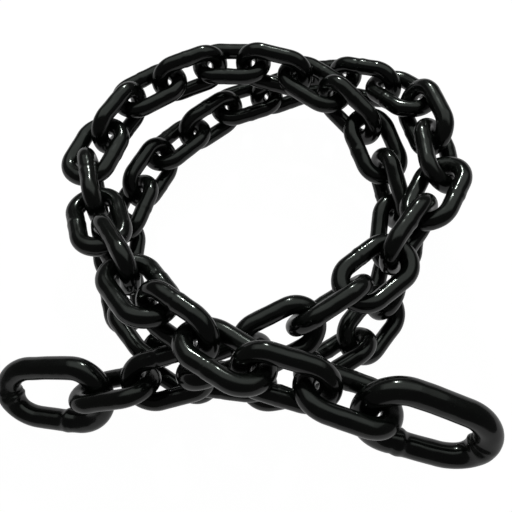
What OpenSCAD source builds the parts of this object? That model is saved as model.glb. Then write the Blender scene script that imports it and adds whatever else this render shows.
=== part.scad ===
// Binder chain: a black coated welded short-link chain with one enlarged oval link at each end,
// laid down in an open coil of two turns that crosses itself.
// Millimetres. +Z is up. The origin is on the ground, under the middle of the coil.

/* [View] */
// which piece to draw: "all", end_link_1, end_link_2, or link_01 to link_47

/* [Chain] */
// steel bar of the chain links, before coating
bar_d = 10; // [9.5:0.1:10.2]
// thickness of the black coat on every surface
coat = 0.1; // [0.05:0.05:0.2]
// clear inside length of a chain link, coated
link_in_l = 31.4; // [31:0.1:32.4]
// clear inside width of a chain link, coated
link_in_w = 13.6; // [13.2:0.1:14.2]
// how far the weld bead of a chain link stands out of the bar
bead_h = 0.4; // [0.2:0.1:0.6]
// width of the weld bead along the bar
bead_w = 4; // [3:0.5:5]

/* [End links] */
// steel bar of the two enlarged end links, before coating
end_bar_d = 12.6; // [12.4:0.1:12.8]
// clear inside length of an end link, coated
end_in_l = 44; // [42:0.5:48]
// clear inside width of an end link, coated
end_in_w = 19; // [18:0.5:22]
// how far the two welds of an end link stand out of the bar
collar_h = 0.9; // [0.5:0.1:1.2]
// width of the weld on the leg, along the bar
collar_w = 6.5; // [5:0.5:7]
// place of that weld along its leg, towards the chain
collar_x = 7.5; // [6:0.5:8.5]
// place of the weld on the outer crown, degrees off its middle
crown_weld_at = 15; // [5:1:30]
// length of the weld on the outer crown, degrees of its curve
crown_weld_arc = 26; // [20:1:34]

/* [Lay in plan] */
// number of chain links between the two end links
chain_links = 47; // [47]
// plan turn from end link 1 to the first chain link, degrees
turn_end_link = 1.3; // [1:0.1:1.6]
// plan turn from link to link in the arc that leads in
turn_lead_in = 9.3; // [9.2:0.1:9.4]
// the same in the first corner, at the left
turn_left_corner = 20.6; // [20.5:0.1:20.7]
// the same over the top and down the right side of the first turn
turn_far_side = 15.2; // [15.1:0.1:15.3]
// the same along the bottom, under everything else
turn_bottom = 21; // [20.9:0.1:21.1]
// the same up the inside of the left side
turn_inner_left = 13.4; // [13.3:0.1:13.5]
// the same round the far right corner of the second turn
turn_right_corner = 20.1; // [20:0.1:20.2]
// the same in the arc that leads out to end link 2
turn_lead_out = 7.6; // [7.5:0.1:7.7]
// direction in which the chain leaves end link 1, degrees from +X
start_heading = 162; // [160:0.5:164]
// slack between two links where the chain is drawn out, at end link 1 and in the lead-out
slack_taut = 0.9; // [0.8:0.1:1]
// slack between two links along the bottom
slack_bottom = 1; // [0.9:0.1:1.1]
// slack between two links in the lead-in and up the inside of the left side
slack_easy = 2.2; // [2.1:0.1:2.3]
// slack between two links pushed together in the corners and along the far side
slack_loose = 2.8; // [2.7:0.1:2.9]

/* [Lay in height] */
// height of a link's middle above the ground where the chain lies flat
ground_z = 13.6; // [13.6:0.1:14]
// lift of the lead-in, which crosses over two layers
lift_lead_in = 64.8; // [64:0.1:66]
// lift where the first turn crosses over the second
lift_far_side = 34.4; // [34:0.1:35]
// lift where the lead-out crosses over the first turn
lift_lead_out = 37.9; // [37.4:0.1:38.4]

/* [Roll of the links] */
// lean of the first end link's flat face from level, degrees
lean_start = 121; // [119:1:123]
// roll that the chain loses on the way into the left corner
roll_left_corner = 37; // [36:1:38]
// roll that it loses at the end of the far side
roll_far_side = 33; // [32:1:34]
// roll that it takes up on the way into the right corner
roll_right_corner = 37; // [36:1:38]
// roll back through the right corner, which brings the other links face up
roll_back = 132; // [130:1:133]

/* [Hidden] */
$fn = 48;
wire = bar_d + 2 * coat;
end_wire = end_bar_d + 2 * coat;
last = chain_links + 1;

// Crown radius and half straight length on the bar's centreline, for a chain link and an end link.
crown = (link_in_w + wire) / 2;
straight = (link_in_l + wire) / 2 - crown;
end_crown = (end_in_w + end_wire) / 2;
end_straight = (end_in_l + end_wire) / 2 - end_crown;

function is_end(k) = k == 0 || k == last;
function wire_of(k) = is_end(k) ? end_wire : wire;
function crown_of(k) = is_end(k) ? end_crown : crown;
function straight_of(k) = is_end(k) ? end_straight : straight;

// The plan as eight arcs: number of links, turn from link to link, and the slack left at each joint.
arcs = [
    [1, turn_end_link, slack_taut],
    [6, turn_lead_in, slack_easy],
    [6, turn_left_corner, slack_loose],
    [7, turn_far_side, slack_loose],
    [7, turn_bottom, slack_bottom],
    [6, turn_inner_left, slack_easy],
    [7, turn_right_corner, slack_loose],
    [8, turn_lead_out, slack_taut]
];

// Where the path lifts: first link of the rise, first and last link at the top, last link of the fall, lift.
humps = [
    [-6, 2.4, 2.4, 12.5, lift_lead_in],
    [5.6, 13.3, 14.4, 20.7, lift_far_side],
    [32, 38.3, 43.1, 49.6, lift_lead_out]
];

// Where the chain rolls about its own line: first link, last link, roll.
rolls = [
    [3.2, 8.9, -roll_left_corner],
    [17.8, 21.3, -roll_far_side],
    [28.1, 33.4, roll_right_corner],
    [36.6, 44.3, -roll_back]
];

// Distance over which a link steers back to the path.
steer = 45;

function unit(v) = v / norm(v);
function arc_of(j, a = 0) = j < arcs[a][0] ? a : arc_of(j - arcs[a][0], a + 1);
function turn_at(j) = arcs[arc_of(min(j, last - 1))][1];
function slack_at(j) = arcs[arc_of(min(j, last - 1))][2];

// Distance between the crown centres of link k and link k + 1, one inside the other.
function reach(k) = crown_of(k) + crown_of(k + 1) - (wire_of(k) + wire_of(k + 1)) / 2 - slack_at(k);
function pitch(k) = straight_of(k) + reach(k) + straight_of(k + 1);

function ramp(t) = t <= 0 ? 0 : t >= 1 ? 1 : (1 - cos(180 * t)) / 2;
function hump(k, h) = h[4] * ramp((k - h[0]) / (h[1] - h[0])) * ramp((h[3] - k) / (h[3] - h[2]));
function height(k) = ground_z + hump(k, humps[0]) + hump(k, humps[1]) + hump(k, humps[2]);
function plan_step(k) = sqrt(pow(pitch(k), 2) - pow(height(k + 1) - height(k), 2));

// The path: one point for the middle of every link.
path = [
    for (
        k = 0, p = [0, 0], h = start_heading;
        k <= last;
        p = p + (k < last ? plan_step(k) : 0) * [cos(h), sin(h)], h = h - turn_at(k), k = k + 1
    )
    [p.x, p.y, height(k)]
];

function along(k) =
    k == 0 ? unit(path[1] - path[0]) :
    k == last ? unit(path[k] - path[k - 1]) :
    unit(path[k + 1] - path[k - 1]);

// Lean of a link's flat face from level: a quarter turn more at each link, and the roll of the chain.
function roll(k, i = 0) =
    i == len(rolls) ? 0 :
    rolls[i][2] * min(1, max(0, (k - rolls[i][0]) / (rolls[i][1] - rolls[i][0]))) + roll(k, i + 1);
function lean(k) = lean_start + 90 * k + roll(k);
function face(k, t) =
    let (up = unit([0, 0, 1] - t.z * t))
    cos(lean(k)) * up + sin(lean(k)) * cross(t, up);

// A link as [middle, long axis, face], given its first crown centre b and the joint direction w.
// Its plane holds w, so its wire stays in the middle of the link before it.
function laid(k, b, w) =
    let (
        t = along(k),
        m = face(k, t),
        n = unit(m - (m * w) * w),
        aim = t + (path[k] - b - straight_of(k) * t) / steer,
        u = unit(aim - (aim * n) * n)
    )
    [b + straight_of(k) * u, u, n];

// The joint direction out of link s: along the path, held in the plane of link s.
function joint(k, s) =
    let (
        t = unit(path[k + 1] - path[k]),
        off = path[k] + straight_of(k) * t - s[0] - straight_of(k) * s[1],
        aim = t + off / steer
    )
    unit(aim - (aim * s[2]) * s[2]);

// All the links, each hooked through the one before.
function march(k, b, w) =
    let (s = laid(k, b, w))
    k == last ? [s] :
    let (
        next_w = joint(k, s),
        next_b = s[0] + straight_of(k) * s[1] + reach(k) * next_w
    )
    concat([s], march(k + 1, next_b, next_w));

hooked = march(0, path[0] - straight_of(0) * along(0), along(0));

// How far link k reaches from its middle along the axis a of the frame.
function extent(k, a) =
    let (s = hooked[k], v = cross(s[2], s[1]))
    straight_of(k) * abs(s[1][a]) + crown_of(k) * norm([s[1][a], v[a]]) + wire_of(k) / 2;
low = [for (a = [0 : 2]) min([for (k = [0 : last]) hooked[k][0][a] - extent(k, a)])];
high = [for (a = [0 : 2]) max([for (k = [0 : last]) hooked[k][0][a] + extent(k, a)])];

// The same, moved so that the lowest link touches the ground and the coil is centred on the origin.
lay = [
    for (s = hooked)
    [s[0] - [(low.x + high.x) / 2, (low.y + high.y) / 2, low.z], s[1], s[2]]
];

function two_digits(k) = str(k < 10 ? "0" : "", k);
function name_of(k) =
    k == 0 ? "end_link_1" :
    k == last ? "end_link_2" :
    str("link_", two_digits(k));

// Moves a link drawn on the X axis, face up, to its place in the coil.
module place(s) {
    v = cross(s[2], s[1]);
    multmatrix([
        [s[1].x, v.x, s[2].x, s[0].x],
        [s[1].y, v.y, s[2].y, s[0].y],
        [s[1].z, v.z, s[2].z, s[0].z],
        [0, 0, 0, 1]
    ])
        children();
}

// An oval of round bar: two straight legs and two half-ring crowns.
module oval(bar, half, radius) {
    for (side = [-1, 1]) {
        translate([-half, side * radius, 0])
            rotate([0, 90, 0])
                cylinder(h = 2 * half, d = bar);
        translate([side * half, 0, 0])
            rotate([0, 0, side * 90 - 180])
                rotate_extrude(angle = 180)
                    translate([radius, 0])
                        circle(d = bar);
    }
}

// A ring of weld round a bar that lies along X.
module weld(bar, width, rise) {
    rotate([0, 90, 0])
        rotate_extrude()
            polygon([
                [0, -width / 2],
                [bar / 2, -width / 2],
                [bar / 2 + rise, -width / 6],
                [bar / 2 + rise, width / 6],
                [bar / 2, width / 2],
                [0, width / 2]
            ]);
}

module chain_link() {
    color([0.04, 0.04, 0.045]) {
        oval(wire, straight, crown);
        translate([0, crown, 0])
            weld(wire, bead_w, bead_h);
    }
}

// dir is the end that points to the chain, leg the side with the welds: 1 for +X and +Y, -1 for -X and -Y.
module end_link(dir, leg) {
    color([0.04, 0.04, 0.045]) {
        oval(end_wire, end_straight, end_crown);
        translate([dir * collar_x, leg * end_crown, 0])
            weld(end_wire, collar_w, collar_h);
        translate([-dir * end_straight, 0, 0])
            rotate([0, 0, leg * (90 + dir * (90 - crown_weld_at)) - crown_weld_arc / 2])
                rotate_extrude(angle = crown_weld_arc)
                    translate([end_crown, 0])
                        circle(d = end_wire + 2 * collar_h);
    }
}

for (k = [0 : last]) {
    union() {
        place(lay[k])
            if (is_end(k)) {
                end_link(k == 0 ? 1 : -1, k == 0 ? -1 : 1);
            } else {
                chain_link();
            }
    }
}
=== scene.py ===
"""Looks of the coiled chain.

Each CAD link is replaced by a denser, smooth, slightly uneven one in a glossy black coat.
"""
import math
import random

import bpy
import numpy as np
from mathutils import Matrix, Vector


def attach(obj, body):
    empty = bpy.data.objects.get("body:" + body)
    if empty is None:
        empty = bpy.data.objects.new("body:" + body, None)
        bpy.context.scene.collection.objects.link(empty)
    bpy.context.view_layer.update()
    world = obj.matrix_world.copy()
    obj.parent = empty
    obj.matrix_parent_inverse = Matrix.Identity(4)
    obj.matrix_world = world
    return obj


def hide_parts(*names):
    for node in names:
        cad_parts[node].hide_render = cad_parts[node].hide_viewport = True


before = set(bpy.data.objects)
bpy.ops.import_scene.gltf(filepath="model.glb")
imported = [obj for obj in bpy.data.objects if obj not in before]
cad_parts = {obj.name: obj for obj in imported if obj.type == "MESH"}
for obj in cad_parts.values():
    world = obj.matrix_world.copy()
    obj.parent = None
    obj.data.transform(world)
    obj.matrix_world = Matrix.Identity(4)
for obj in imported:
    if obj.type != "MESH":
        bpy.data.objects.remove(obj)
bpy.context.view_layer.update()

rng = random.Random(47)

# ---- Sizes. Lengths of links are in millimetres, everything that is put in the scene is in metres. ----
MM = 0.001

# A link's centreline is two straight legs and two half circles.
# half_leg: half of a straight leg; crown: radius of the half circles; bar: radius of the CAD bar;
# along, around: mesh points along the centreline and round the bar.
CHAIN_LINK = dict(half_leg=8.9, crown=11.9, bar=5.1, along=132, around=36)
END_LINK = dict(half_leg=12.5, crown=15.9, bar=6.4, along=184, around=44)

SKIN = 0.18             # how far the visual surface stays under the CAD one
WAVE = 0.09             # height of the slow unevenness of the coat
ANY_PHASE = 6.28        # upper end of a random phase, a full turn
CROWN_BUILD = 0.8       # how much fatter the bar gets inside the crowns, where the neighbour leaves room
CROWN_BUILD_WIDTH = 9   # how far along the bar that reaches
AIR = 0.2               # what stays free between neighbours
TAPER = 0.13            # share by which an end link gets narrower towards its free end

# The coat's unevenness: waves along the link, waves round the bar, share of WAVE.
SWELLS = ((1, 0, 0.3), (2, 1, 0.5), (3, 1, 0.4), (5, 2, 0.35), (9, 1, 0.25), (13, 3, 0.2))

# Fitting a link to its CAD mesh: for each round, how far off the bar a point may lie and still count.
FIT_WINDOWS = [3.0] * 4 + [0.6] * 4 + [0.12] * 6
FIT_STEP = 1e-4         # step for the slopes
FIT_FEWEST = 50         # with fewer points than this in the window, all of them count
WELD_PROUD = 0.15       # points this far off the bar belong to a weld

# Welds of an end link. Stations run along the centreline from the middle of the welded leg.
RING = dict(at=-6.0, width=2.0, height=0.85, lumpy=0.15, outside=0.35)      # ring on the leg
RING_TOE = dict(before=3.1, width=1.0, height=0.25, faces=2.2)              # step at the foot of the ring
THIN = dict(from_ring=1.5, ramp_in=0.7, to=26.0, ramp_out=1.5, depth=0.85)  # thinner bar between the welds
LIP = dict(before_apex=math.radians(15), width=4.2, outside=0.15, inside=1.35)      # fat weld in the crown
LIP_TOE = dict(after=5.2, width=1.3, height=0.45)                           # bead behind it

# Weld of a chain link: a low ring at the middle of one leg, with a bead after it and a groove before it.
SEAM = dict(off_middle=0.5, width=1.5, height=0.30, lumpy=0.3)
SEAM_BEAD = dict(after=2.4, width=0.7, height=0.10)
SEAM_GROOVE = dict(before=2.6, width=0.9, depth=0.05)


# ---- Where the CAD links are ----
def is_end(node):
    return node.startswith("end_link")


def kind_of(node):
    return END_LINK if is_end(node) else CHAIN_LINK


def loop_length(kind):
    return 4 * kind["half_leg"] + 2 * math.pi * kind["crown"]


def off_centreline(points, kind):
    """Distance of local points from the link's centreline."""
    along = np.abs(points[:, 0])
    flat = np.where(
        along <= kind["half_leg"],
        np.abs(np.abs(points[:, 1]) - kind["crown"]),
        np.abs(np.hypot(along - kind["half_leg"], points[:, 1]) - kind["crown"]),
    )
    return np.hypot(flat, points[:, 2])


def small_turn(w):
    """Rotation matrix of a rotation vector."""
    angle = float(np.linalg.norm(w))
    if angle < 1e-12:
        return np.eye(3)
    k = w / angle
    cross = np.array([[0, -k[2], k[1]], [k[2], 0, -k[0]], [-k[1], k[0], 0]])
    return np.eye(3) + math.sin(angle) * cross + (1 - math.cos(angle)) * cross @ cross


def place_of(node, kind):
    """A CAD link's middle, its axes (rows: along, across towards the weld, normal) and the fit's error."""
    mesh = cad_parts[node].data
    points = np.empty(len(mesh.vertices) * 3)
    mesh.vertices.foreach_get("co", points)
    points = points.reshape(-1, 3) / MM
    middle = points.mean(0)
    _, vectors = np.linalg.eigh(np.cov((points - middle).T))
    axes = vectors[:, ::-1].T.copy()

    def gap(shift, w):
        turned = small_turn(w) @ axes
        return off_centreline((points - middle - shift) @ turned.T, kind) - kind["bar"]

    for window in FIT_WINDOWS:
        base = gap(np.zeros(3), np.zeros(3))
        slope = np.empty((len(points), 6))
        for i in range(6):
            d = np.zeros(6)
            d[i] = FIT_STEP
            slope[:, i] = (gap(d[:3], d[3:]) - base) / FIT_STEP
        weight = (np.abs(base) < window).astype(float)
        if weight.sum() < FIT_FEWEST:
            weight[:] = 1
        move = np.linalg.lstsq(slope * weight[:, None], -base * weight, rcond=None)[0]
        middle = middle + move[:3]
        axes = small_turn(move[3:]) @ axes

    local = (points - middle) @ axes.T
    proud = off_centreline(local, kind) - kind["bar"]
    weld = local[(proud > WELD_PROUD) & (np.abs(local[:, 0]) < kind["half_leg"])]
    if weld[:, 1].mean() < 0:
        axes[1] = -axes[1]
        axes[2] = -axes[2]
    if is_end(node) and weld[:, 0].mean() < 0:
        axes[0] = -axes[0]
        axes[2] = -axes[2]
    if np.linalg.det(axes) < 0:
        axes[2] = -axes[2]
    fault = float(np.sqrt(np.mean(proud[np.abs(proud) < FIT_WINDOWS[-1]] ** 2)))
    return middle, axes, fault


# ---- Meshes of the links ----
def centreline(kind):
    """Stations, centreline and outward direction in a link's plane; station 0 is amid the welded leg."""
    half, crown = kind["half_leg"], kind["crown"]
    bend = math.pi * crown
    m = kind["along"]
    stations = (np.arange(m) / m - 0.5) * loop_length(kind)
    line = np.empty((m, 2))
    out = np.empty((m, 2))
    for i, station in enumerate(stations):
        side = 1 if station >= 0 else -1
        a = abs(station)
        if a <= half:
            line[i] = (-side * a, crown)
            out[i] = (0, 1)
        elif a <= half + bend:
            t = (a - half) / crown
            line[i] = (-side * (half + crown * math.sin(t)), crown * math.cos(t))
            out[i] = (-side * math.sin(t), math.cos(t))
        else:
            line[i] = (-side * (2 * half + bend - a), -crown)
            out[i] = (0, -1)
    return stations, line, out


def tapered(line, kind):
    """An end link's centreline, a little narrower at the free end, and its outward direction."""
    half = kind["half_leg"]
    t = np.clip((half - line[:, 0]) / (2 * half + kind["crown"]), 0, 1)
    line = line.copy()
    line[:, 1] *= 1 - TAPER * t * t * (3 - 2 * t)
    ahead = np.roll(line, -1, 0) - np.roll(line, 1, 0)
    out = np.stack([ahead[:, 1], -ahead[:, 0]], -1)
    out /= np.linalg.norm(out, axis=1)[:, None]
    out *= np.sign((out * line).sum(1))[:, None]
    return line, out


def free_gap(node_a, node_b):
    """Free distance between two placed CAD links."""
    runs = []
    for node in (node_a, node_b):
        middle, axes, _ = places[node]
        line = centreline(kind_of(node))[1]
        runs.append(line @ axes[:2] + middle)
    apart = np.linalg.norm(runs[0][:, None] - runs[1][None], axis=2).min()
    return apart - kind_of(node_a)["bar"] - kind_of(node_b)["bar"]


def hump(stations, at, width, length):
    """A smooth hump round a place on the closed centreline."""
    d = np.abs(stations - at)
    d = np.minimum(d, length - d)
    return np.exp(-((d / width) ** 2))


def end_link_welds(s, phi, inner, kind):
    """Relief and mask of an end link's two welds, with the thinner stretch of bar between them."""
    length = loop_length(kind)
    ring = hump(s, RING["at"], RING["width"], length)
    lump = 1 - RING["lumpy"] + RING["lumpy"] * np.cos(2 * phi + rng.uniform(0, ANY_PHASE))
    relief = RING["height"] * ring * lump * (RING["outside"] + (1 - RING["outside"]) * inner)
    toe = hump(s, RING["at"] - RING_TOE["before"], RING_TOE["width"], length)
    relief += RING_TOE["height"] * toe * np.cos(phi + RING_TOE["faces"])
    thin = 1 / (1 + np.exp(-(s - RING["at"] - THIN["from_ring"]) / THIN["ramp_in"]))
    thin = thin / (1 + np.exp((s - THIN["to"]) / THIN["ramp_out"]))
    relief -= THIN["depth"] * thin * inner
    lip_at = kind["half_leg"] + kind["crown"] * (math.pi / 2 - LIP["before_apex"])
    lip = hump(s, lip_at, LIP["width"], length)
    relief += lip * (LIP["outside"] + LIP["inside"] * inner ** 1.5)
    bead = hump(s, lip_at + LIP_TOE["after"], LIP_TOE["width"], length)
    relief += LIP_TOE["height"] * bead * inner
    return relief, np.clip(ring + lip, 0, 1)


def chain_link_weld(s, phi, kind):
    """Relief and mask of a chain link's weld."""
    length = loop_length(kind)
    at = rng.uniform(-SEAM["off_middle"], SEAM["off_middle"])
    ring = hump(s, at, SEAM["width"], length)
    lump = 1 - SEAM["lumpy"] + SEAM["lumpy"] * np.cos(phi + rng.uniform(0, ANY_PHASE))
    relief = SEAM["height"] * ring * lump
    relief += SEAM_BEAD["height"] * hump(s, at + SEAM_BEAD["after"], SEAM_BEAD["width"], length)
    relief -= SEAM_GROOVE["depth"] * hump(s, at - SEAM_GROOVE["before"], SEAM_GROOVE["width"], length)
    return relief, ring


def link_mesh(name, node, build):
    """Closed tube along the link's centreline, with its unevenness, built-up crowns and welds."""
    kind = kind_of(node)
    middle, axes, _ = places[node]
    length = loop_length(kind)
    m, k = kind["along"], kind["around"]
    stations, line, out = centreline(kind)
    if is_end(node):
        line, out = tapered(line, kind)
    s, phi = np.meshgrid(stations, np.arange(k) / k * 2 * math.pi, indexing="ij")
    inner = 0.5 - 0.5 * np.cos(phi)

    radius = np.full((m, k), kind["bar"] - SKIN)
    turn = 2 * math.pi * s / length
    for waves_along, waves_round, share in SWELLS:
        radius += WAVE * share * np.cos(waves_along * turn + waves_round * phi + rng.uniform(0, ANY_PHASE))
    # The coat is drawn out thicker inside the crowns, where the links hang in each other.
    apex_at = kind["half_leg"] + math.pi * kind["crown"] / 2
    apex = np.maximum(
        hump(s, apex_at, CROWN_BUILD_WIDTH, length),
        hump(s, -apex_at, CROWN_BUILD_WIDTH, length),
    )
    contact = apex * inner ** 2
    radius += build * contact
    if is_end(node):
        relief, weld = end_link_welds(s, phi, inner, kind)
    else:
        relief, weld = chain_link_weld(s, phi, kind)
    radius += relief

    local = np.empty((m, k, 3))
    local[..., :2] = line[:, None, :] + out[:, None, :] * (np.cos(phi) * radius)[..., None]
    local[..., 2] = np.sin(phi) * radius
    verts = (local.reshape(-1, 3) @ axes + middle) * MM
    i, j = np.meshgrid(np.arange(m), np.arange(k), indexing="ij")
    i2, j2 = (i + 1) % m, (j + 1) % k
    faces = np.stack([i * k + j, i * k + j2, i2 * k + j2, i2 * k + j], -1).reshape(-1, 4)
    mesh = bpy.data.meshes.new(name)
    mesh.from_pydata(verts.tolist(), [], faces.tolist())
    mesh.update()
    first = mesh.polygons[0]
    bar_middle = Vector((np.append(line[0], 0) @ axes + middle) * MM)
    if first.normal.dot(first.center - bar_middle) < 0:
        mesh.flip_normals()
    mesh.polygons.foreach_set("use_smooth", np.ones(len(faces), dtype=bool))

    tone = np.full(m * k, rng.random())
    for label, values in (("contact", contact), ("weld", weld), ("tone", tone)):
        layer = mesh.attributes.new(label, "FLOAT", "POINT")
        layer.data.foreach_set("value", np.ascontiguousarray(values, dtype=np.float32).ravel())
    return mesh


# ---- Material ----
# Colours of the coat.
DEEP_BLACK = (0.0012, 0.0018, 0.0014)
PATCH_BLACK = (0.0034, 0.0043, 0.0036)
PALE_LINK = (0.0045, 0.0052, 0.0044)
RUBBED = (0.045, 0.044, 0.041)
DUST = (0.07, 0.07, 0.065)

# Cells of each noise to the metre.
BLACK_PATCHES, DULL_PATCHES, RUB_SPOTS, DUST_SPECKS = 75, 160, 420, 2600
SAGS, COAT_CLOUDS, WELD_GRAIN, ORANGE_PEEL = 95, 300, 520, 900

ROUGHNESS = (0.10, 0.20)        # of the black under the clear skin
COAT_ROUGHNESS = (0.03, 0.09)   # of the clear skin
COAT_WEIGHT = 0.30
IOR = 1.45


class Shader:
    """Short ways to add and join shader nodes."""

    def __init__(self, tree):
        self.nodes, self.links = tree.nodes, tree.links
        self.nodes.clear()
        self.coords = None      # where noise() takes its place from

    def add(self, kind, **settings):
        n = self.nodes.new(kind)
        for key, value in settings.items():
            setattr(n, key, value)
        return n

    def feed(self, socket, value):
        """Gives a socket a number, a colour or another node's output."""
        if isinstance(value, tuple):
            socket.default_value = (*value, 1)
        elif isinstance(value, (int, float)):
            socket.default_value = value
        else:
            self.links.new(value, socket)

    def attribute(self, name):
        return self.add("ShaderNodeAttribute", attribute_name=name).outputs["Fac"]

    def noise(self, scale, detail=2.0, rough=0.5):
        """Noise with so many cells to the metre."""
        n = self.add("ShaderNodeTexNoise")
        n.inputs["Scale"].default_value = scale
        n.inputs["Detail"].default_value = detail
        n.inputs["Roughness"].default_value = rough
        self.links.new(self.coords, n.inputs["Vector"])
        return n.outputs["Fac"]

    def remap(self, value, a, b, c, d):
        n = self.add("ShaderNodeMapRange", clamp=True)
        for socket, number in zip(("From Min", "From Max", "To Min", "To Max"), (a, b, c, d)):
            n.inputs[socket].default_value = number
        self.links.new(value, n.inputs["Value"])
        return n.outputs["Result"]

    def maths(self, operation, a, b):
        n = self.add("ShaderNodeMath", operation=operation)
        self.feed(n.inputs[0], a)
        self.feed(n.inputs[1], b)
        return n.outputs["Value"]

    def mix(self, factor, a, b):
        n = self.add("ShaderNodeMix", data_type="RGBA")
        self.feed(n.inputs["Factor"], factor)
        self.feed(n.inputs["A"], a)
        self.feed(n.inputs["B"], b)
        return n.outputs["Result"]

    def bump(self, height, strength, distance, under=None):
        n = self.add("ShaderNodeBump")
        self.feed(n.inputs["Strength"], strength)
        n.inputs["Distance"].default_value = distance
        self.links.new(height, n.inputs["Height"])
        if under is not None:
            self.links.new(under, n.inputs["Normal"])
        return n.outputs["Normal"]


def coat_colour(sh, tone, rub):
    """Near black, slightly green-grey, uneven from link to link and in patches, with a little dust."""
    patches = sh.remap(sh.noise(BLACK_PATCHES, 3), 0.35, 0.65, 0, 1)
    shade = sh.mix(patches, DEEP_BLACK, PATCH_BLACK)
    shade = sh.mix(sh.maths("MULTIPLY", tone, 0.5), shade, PALE_LINK)
    shade = sh.mix(sh.maths("MULTIPLY", rub, 0.55), shade, RUBBED)
    dust = sh.remap(sh.noise(DUST_SPECKS, 1), 0.70, 0.76, 0, 0.35)
    return sh.mix(dust, shade, DUST)


def coat_roughness(sh, tone, rub, weld):
    """Glossy skin, a bit duller in patches, at rubbed spots and on welds."""
    rough = sh.remap(sh.noise(DULL_PATCHES, 3), 0.3, 0.7, *ROUGHNESS)
    for cause, share in ((tone, 0.05), (rub, 0.22), (weld, 0.06)):
        rough = sh.maths("ADD", rough, sh.maths("MULTIPLY", cause, share))
    return rough


def black_coat():
    """Glossy black coat on steel: sags, orange peel, rubbed inner crowns, rougher welds, a little dust."""
    mat = bpy.data.materials.new("black_coat_gloss")
    mat.use_nodes = True
    sh = Shader(mat.node_tree)
    sh.coords = sh.add("ShaderNodeTexCoord").outputs["Object"]
    tone, weld = sh.attribute("tone"), sh.attribute("weld")
    spots = sh.remap(sh.noise(RUB_SPOTS, 4, 0.65), 0.46, 0.62, 0, 1)
    rub = sh.maths("MULTIPLY", sh.attribute("contact"), spots)

    sag = sh.bump(sh.noise(SAGS, 1), 0.60, 0.6 * MM)
    peel = sh.bump(sh.noise(ORANGE_PEEL, 2), 0.06, 0.1 * MM, under=sag)
    grain = sh.bump(sh.noise(WELD_GRAIN, 3, 0.6), sh.maths("MULTIPLY", weld, 0.25), 0.3 * MM, under=peel)

    skin = sh.add("ShaderNodeBsdfPrincipled")
    coat_rough = sh.remap(sh.noise(COAT_CLOUDS, 2), 0.3, 0.7, *COAT_ROUGHNESS)
    for socket, value in (
        ("Base Color", coat_colour(sh, tone, rub)),
        ("Roughness", coat_roughness(sh, tone, rub, weld)),
        ("IOR", IOR),
        ("Normal", grain),
        ("Coat Weight", COAT_WEIGHT),
        ("Coat IOR", IOR),
        ("Coat Roughness", sh.maths("ADD", coat_rough, sh.maths("MULTIPLY", rub, 0.15))),
        ("Coat Normal", sag),
    ):
        sh.feed(skin.inputs[socket], value)
    surface = sh.add("ShaderNodeOutputMaterial")
    sh.feed(surface.inputs["Surface"], skin.outputs["BSDF"])
    return mat


# ---- The chain ----
places = {node: place_of(node, kind_of(node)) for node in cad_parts}
strand = ["end_link_1"] + sorted(node for node in places if not is_end(node)) + ["end_link_2"]
gaps = [free_gap(a, b) for a, b in zip(strand, strand[1:])]
gaps = [gaps[0]] + gaps + [gaps[-1]]
room = {node: (min(gaps[i], gaps[i + 1]) + 2 * SKIN - AIR) / 2 for i, node in enumerate(strand)}

coat = black_coat()
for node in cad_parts:
    piece_name = "coated_" + node
    mesh = link_mesh(piece_name, node, min(CROWN_BUILD, max(0.0, room[node])))
    mesh.materials.append(coat)
    piece = bpy.data.objects.new(piece_name, mesh)
    bpy.context.scene.collection.objects.link(piece)
    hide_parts(node)
    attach(piece, node)
print("links placed, worst fit", round(max(fault for _, _, fault in places.values()), 4), "mm")

# ---- Floor: plain white, mostly lit from itself so that shadows stay faint ----
FLOOR_HALF = 6.0
FLOOR_Z = -0.8 * MM         # just under the links, so that none of them is cut
FLOOR_SEEN = 0.99           # brightness to the camera
FLOOR_REFLECTED = 0.42      # brightness in the coat
FLOOR_MATT = 0.04           # share that takes light and shadow

floor_mesh = bpy.data.meshes.new("floor")
corners = [(x * FLOOR_HALF, y * FLOOR_HALF, FLOOR_Z) for x, y in ((-1, -1), (1, -1), (1, 1), (-1, 1))]
floor_mesh.from_pydata(corners, [], [(0, 1, 2, 3)])
floor = bpy.data.objects.new("floor", floor_mesh)
bpy.context.scene.collection.objects.link(floor)
floor_mat = bpy.data.materials.new("floor_white")
floor_mat.use_nodes = True
sh = Shader(floor_mat.node_tree)
to_camera = sh.add("ShaderNodeLightPath").outputs["Is Camera Ray"]
glow = sh.add("ShaderNodeEmission")
sh.feed(glow.inputs["Strength"], sh.remap(to_camera, 0, 1, FLOOR_REFLECTED, FLOOR_SEEN))
matt = sh.add("ShaderNodeBsdfDiffuse")
sh.feed(matt.inputs["Color"], (FLOOR_MATT, FLOOR_MATT, FLOOR_MATT))
both = sh.add("ShaderNodeAddShader")
sh.feed(both.inputs[0], glow.outputs["Emission"])
sh.feed(both.inputs[1], matt.outputs["BSDF"])
sh.feed(sh.add("ShaderNodeOutputMaterial").inputs["Surface"], both.outputs["Shader"])
floor_mesh.materials.append(floor_mat)

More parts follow.
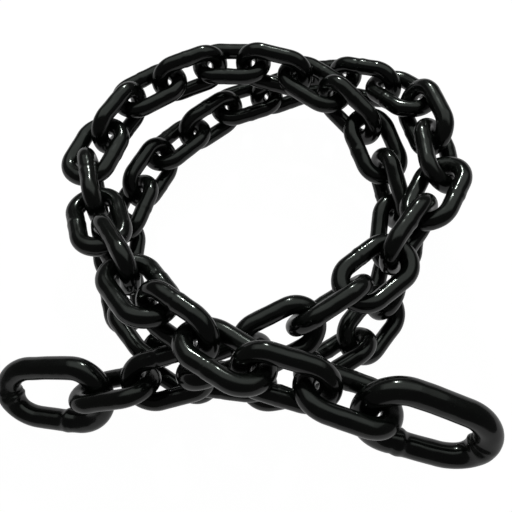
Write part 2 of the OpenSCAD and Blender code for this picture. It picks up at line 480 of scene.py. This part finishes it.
# ---- Surroundings: white to the camera, dim in reflections so that the coat stays black ----
ROOM_REFLECTED = 0.06
world = bpy.data.worlds.new("studio")
world.use_nodes = True
bpy.context.scene.world = world
sh = Shader(world.node_tree)
to_camera = sh.add("ShaderNodeLightPath").outputs["Is Camera Ray"]
choose = sh.add("ShaderNodeMixShader")
sh.feed(choose.inputs["Fac"], to_camera)
for socket, strength in ((choose.inputs[1], ROOM_REFLECTED), (choose.inputs[2], 1.0)):
    side = sh.add("ShaderNodeBackground")
    sh.feed(side.inputs["Color"], (1, 1, 1))
    sh.feed(side.inputs["Strength"], strength)
    sh.feed(socket, side.outputs["Background"])
sh.feed(sh.add("ShaderNodeOutputWorld").inputs["Surface"], choose.outputs["Shader"])

# ---- Lamps: a wide soft box with a brighter core, and a small lamp for the sharp spots ----
LAMP_TINT = (0.90, 1.0, 0.92)
LAMPS_AIM = Vector((0, 0, 0.04))


def lamp(name, direction, distance, size, radiance):
    """Rectangular lamp that shows the coil a surface of the given radiance."""
    data = bpy.data.lights.new(name, "AREA")
    data.shape = "RECTANGLE"
    data.size, data.size_y = size
    data.energy = radiance * math.pi * size[0] * size[1]
    data.color = LAMP_TINT
    thing = bpy.data.objects.new(name, data)
    to = Vector(direction).normalized()
    thing.location = LAMPS_AIM + to * distance
    thing.rotation_euler = to.to_track_quat("Z", "Y").to_euler()
    bpy.context.scene.collection.objects.link(thing)


lamp("softbox_wide", direction=(0.12, 0.50, 1.0), distance=1.15, size=(2.3, 1.30), radiance=0.36)
lamp("softbox_core", direction=(0.10, 0.46, 1.0), distance=1.10, size=(1.7, 0.80), radiance=0.30)
lamp("spark", direction=(0.04, 0.62, 0.46), distance=0.77, size=(0.045, 0.045), radiance=300)

# ---- Camera: close to the coil and above its near side, as in the photograph ----
CAMERA_AT = (0.01321, -0.16565, 0.33819)
CAMERA_TURN = (26.437, 1.297, -2.607)   # degrees about X, Y and Z, from looking straight down

camera_data = bpy.data.cameras.new("camera")
camera_data.sensor_width = 36
camera_data.lens = 41.409
camera_data.clip_start = 0.01
camera_data.shift_x = -0.006
camera = bpy.data.objects.new("camera", camera_data)
camera.location = CAMERA_AT
camera.rotation_euler = [math.radians(angle) for angle in CAMERA_TURN]
bpy.context.scene.collection.objects.link(camera)
bpy.context.scene.camera = camera
bpy.context.scene.view_settings.view_transform = "Standard"
